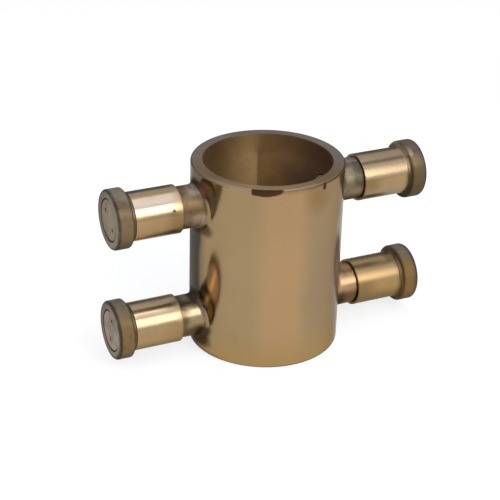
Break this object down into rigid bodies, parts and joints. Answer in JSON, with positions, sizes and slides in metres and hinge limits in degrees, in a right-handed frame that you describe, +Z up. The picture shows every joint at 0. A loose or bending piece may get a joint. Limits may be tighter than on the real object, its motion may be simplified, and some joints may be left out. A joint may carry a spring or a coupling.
{
  "type": "double female hose adapter",
  "caption": "Upright bronze tube with a socket in each end that joins male hose couplings; spring plungers with pull knobs on each side lock them.",
  "frame": {"origin": "centre of the lower rim, on the tube's axis", "axes": "+Z up along the tube's axis, +X along the arms to the right, +Y to the back"},
  "size_m": [0.2108, 0.096, 0.122],
  "materials": {
    "gunmetal_body": "polished",
    "knob_gunmetal": "polished",
    "cap_nut_brass": "satin",
    "plunger_bronze": "turned",
    "bonnet_brass": "turned",
    "spring_steel": "drawn",
    "washer_rubber": "matte"
  },
  "bodies": {
    "housing": {"body": "gunmetal_body", "upper_washer": "washer_rubber", "lower_washer": "washer_rubber", "upper_left_spring": "spring_steel", "upper_left_bonnet": "bonnet_brass", "upper_right_spring": "spring_steel", "upper_right_bonnet": "bonnet_brass", "lower_left_spring": "spring_steel", "lower_left_bonnet": "bonnet_brass", "lower_right_spring": "spring_steel", "lower_right_bonnet": "bonnet_brass"},
    "upper_left_plunger_set": {"upper_left_plunger": "plunger_bronze", "upper_left_knob": "knob_gunmetal", "upper_left_cap_nut": "cap_nut_brass"},
    "upper_right_plunger_set": {"upper_right_plunger": "plunger_bronze", "upper_right_knob": "knob_gunmetal", "upper_right_cap_nut": "cap_nut_brass"},
    "lower_left_plunger_set": {"lower_left_plunger": "plunger_bronze", "lower_left_knob": "knob_gunmetal", "lower_left_cap_nut": "cap_nut_brass"},
    "lower_right_plunger_set": {"lower_right_plunger": "plunger_bronze", "lower_right_knob": "knob_gunmetal", "lower_right_cap_nut": "cap_nut_brass"}
  },
  "joints": [
    {"name": "upper_left_pull", "type": "slide", "parent": "housing", "child": "upper_left_plunger_set", "axis": [-1, 0, 0], "range_m": [0, 0.0055], "stiffness_N_per_m": 8000, "springref_m": -0.005, "deforming": ["upper_left_spring"]},
    {"name": "upper_right_pull", "type": "slide", "parent": "housing", "child": "upper_right_plunger_set", "axis": [1, 0, 0], "range_m": [0, 0.0055], "stiffness_N_per_m": 8000, "springref_m": -0.005, "deforming": ["upper_right_spring"]},
    {"name": "lower_left_pull", "type": "slide", "parent": "housing", "child": "lower_left_plunger_set", "axis": [-1, 0, 0], "range_m": [0, 0.0055], "stiffness_N_per_m": 8000, "springref_m": -0.005, "deforming": ["lower_left_spring"]},
    {"name": "lower_right_pull", "type": "slide", "parent": "housing", "child": "lower_right_plunger_set", "axis": [1, 0, 0], "range_m": [0, 0.0055], "stiffness_N_per_m": 8000, "springref_m": -0.005, "deforming": ["lower_right_spring"]}
  ]
}
